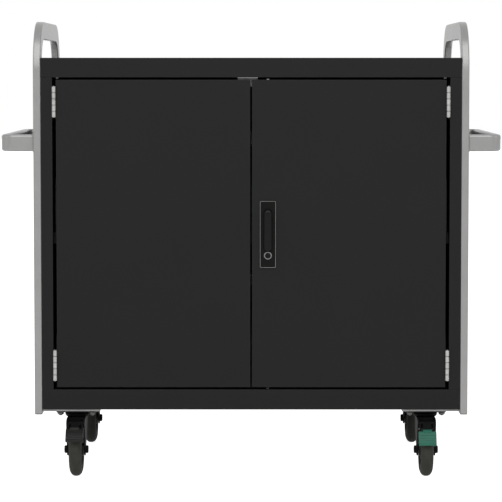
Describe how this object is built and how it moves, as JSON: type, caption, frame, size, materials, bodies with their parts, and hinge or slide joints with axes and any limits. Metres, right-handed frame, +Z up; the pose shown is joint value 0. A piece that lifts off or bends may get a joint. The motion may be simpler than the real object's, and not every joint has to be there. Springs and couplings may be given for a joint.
{
  "type": "laptop charging cart",
  "caption": "Wheeled steel cabinet with flush double doors, a swing-handle lock, tube end frames with push handles, and racks that store and charge laptops.",
  "frame": {"origin": "on the floor, under the middle of the cart's bounding box", "axes": "+Z up, the doors face -Y, +X to the right of a person who faces the doors"},
  "size_m": [1.18, 0.6968, 1.079],
  "materials": {
    "black_paint": "matt fine-textured powder coat",
    "grey_paint": "satin silver-grey powder coat",
    "caster_steel": "black coated pressed steel",
    "zinc": "zinc plated",
    "lock_chrome": "polished",
    "lock_black": "fine-textured black moulding",
    "divider_plastic": "matt",
    "strip_metal": "anodised",
    "black_plastic": "matt moulded",
    "cable": "smooth sheath",
    "tyre_rubber": "matt",
    "teal_plastic": "satin moulded"
  },
  "bodies": {
    "cabinet": {"left_side_panel": "black_paint", "right_side_panel": "black_paint", "top_panel": "black_paint", "base_pan": "black_paint", "rear_panel": "black_paint", "middle_shelf": "black_paint", "left_end_frame": "grey_paint", "right_end_frame": "grey_paint", "left_push_handle": "grey_paint", "right_push_handle": "grey_paint", "left_caster_rail": "grey_paint", "right_caster_rail": "grey_paint", "strike_bracket": "grey_paint", "left_upper_hinge_frame_leaf": "zinc", "left_lower_hinge_frame_leaf": "zinc", "right_upper_hinge_frame_leaf": "zinc", "right_lower_hinge_frame_leaf": "zinc", "lower_divider_rack": "divider_plastic", "upper_divider_rack": "divider_plastic", "lower_power_strip": "strip_metal", "upper_power_strip": "strip_metal", "power_inlet": "black_plastic", "wiring_harness": "cable", "front_left_caster_plate": "caster_steel", "front_right_caster_plate": "caster_steel", "rear_left_caster_plate": "caster_steel", "rear_right_caster_plate": "caster_steel"},
    "left_door": {"left_door": "black_paint", "left_upper_hinge_door_leaf": "zinc", "left_lower_hinge_door_leaf": "zinc"},
    "right_door": {"right_door": "black_paint", "lock_escutcheon": "lock_black", "upper_rod_guide": "black_plastic", "lower_rod_guide": "black_plastic", "right_upper_hinge_door_leaf": "zinc", "right_lower_hinge_door_leaf": "zinc"},
    "lock_spindle": {"lock_spindle": "zinc", "lock_cam": "zinc"},
    "lock_lever": {"lock_lever": "lock_black"},
    "key_cylinder": {"key_cylinder": "lock_chrome"},
    "upper_lock_rod": {"upper_lock_rod": "zinc"},
    "lower_lock_rod": {"lower_lock_rod": "zinc"},
    "front_left_caster": {"front_left_fork": "caster_steel", "front_left_axle": "zinc"},
    "front_left_wheel": {"front_left_wheel": "black_plastic", "front_left_tyre": "tyre_rubber"},
    "front_left_brake_pedal": {"front_left_brake_pedal": "black_plastic"},
    "front_right_caster": {"front_right_fork": "caster_steel", "front_right_axle": "zinc"},
    "front_right_wheel": {"front_right_wheel": "black_plastic", "front_right_tyre": "tyre_rubber"},
    "front_right_brake_pedal": {"front_right_brake_pedal": "teal_plastic"},
    "rear_left_caster": {"rear_left_fork": "caster_steel", "rear_left_axle": "zinc"},
    "rear_left_wheel": {"rear_left_wheel": "black_plastic", "rear_left_tyre": "tyre_rubber"},
    "rear_right_caster": {"rear_right_fork": "caster_steel", "rear_right_axle": "zinc"},
    "rear_right_wheel": {"rear_right_wheel": "black_plastic", "rear_right_tyre": "tyre_rubber"}
  },
  "joints": [
    {"name": "left_door_hinge", "type": "hinge", "parent": "cabinet", "child": "left_door", "pos_m": [-0.46325, -0.3035, 0.578], "axis": [0, 0, -1], "range_deg": [0, 180]},
    {"name": "right_door_hinge", "type": "hinge", "parent": "cabinet", "child": "right_door", "pos_m": [0.46325, -0.3035, 0.578], "axis": [0, 0, 1], "range_deg": [0, 180]},
    {"name": "handle_turn", "type": "hinge", "parent": "right_door", "child": "lock_spindle", "pos_m": [0.0395, -0.3, 0.631], "axis": [0, -1, 0], "range_deg": [0, 90]},
    {"name": "handle_lift", "type": "hinge", "parent": "lock_spindle", "child": "lock_lever", "pos_m": [0.0395, -0.3108, 0.631], "axis": [-1, 0, 0], "range_deg": [0, 35]},
    {"name": "key_turn", "type": "hinge", "parent": "right_door", "child": "key_cylinder", "pos_m": [0.0395, -0.3, 0.528], "axis": [0, -1, 0], "range_deg": [0, 90]},
    {"name": "upper_rod_slide", "type": "slide", "parent": "right_door", "child": "upper_lock_rod", "axis": [0, 0, -1], "range_m": [0, 0.012]},
    {"name": "lower_rod_slide", "type": "slide", "parent": "right_door", "child": "lower_lock_rod", "axis": [0, 0, 1], "range_m": [0, 0.012]},
    {"name": "front_left_swivel", "type": "hinge", "parent": "cabinet", "child": "front_left_caster", "pos_m": [-0.416, -0.231, 0.14], "axis": [0, 0, 1], "continuous": true},
    {"name": "front_left_roll", "type": "hinge", "parent": "front_left_caster", "child": "front_left_wheel", "pos_m": [-0.416, -0.271, 0.0635], "axis": [1, 0, 0], "continuous": true},
    {"name": "front_left_brake", "type": "hinge", "parent": "front_left_caster", "child": "front_left_brake_pedal", "pos_m": [-0.416, -0.299, 0.129], "axis": [1, 0, 0], "range_deg": [0, 17]},
    {"name": "front_right_swivel", "type": "hinge", "parent": "cabinet", "child": "front_right_caster", "pos_m": [0.416, -0.231, 0.14], "axis": [0, 0, 1], "continuous": true},
    {"name": "front_right_roll", "type": "hinge", "parent": "front_right_caster", "child": "front_right_wheel", "pos_m": [0.416, -0.271, 0.0635], "axis": [1, 0, 0], "continuous": true},
    {"name": "front_right_brake", "type": "hinge", "parent": "front_right_caster", "child": "front_right_brake_pedal", "pos_m": [0.416, -0.299, 0.129], "axis": [1, 0, 0], "range_deg": [-12, 5]},
    {"name": "rear_left_swivel", "type": "hinge", "parent": "cabinet", "child": "rear_left_caster", "pos_m": [-0.416, 0.239, 0.14], "axis": [0, 0, 1], "continuous": true},
    {"name": "rear_left_roll", "type": "hinge", "parent": "rear_left_caster", "child": "rear_left_wheel", "pos_m": [-0.416, 0.279, 0.0635], "axis": [1, 0, 0], "continuous": true},
    {"name": "rear_right_swivel", "type": "hinge", "parent": "cabinet", "child": "rear_right_caster", "pos_m": [0.416, 0.239, 0.14], "axis": [0, 0, 1], "continuous": true},
    {"name": "rear_right_roll", "type": "hinge", "parent": "rear_right_caster", "child": "rear_right_wheel", "pos_m": [0.416, 0.279, 0.0635], "axis": [1, 0, 0], "continuous": true}
  ],
  "couplings": [
    {"joint": "upper_rod_slide", "follows": "handle_turn", "m_per_rad": 0.00763},
    {"joint": "lower_rod_slide", "follows": "handle_turn", "m_per_rad": 0.00763}
  ]
}
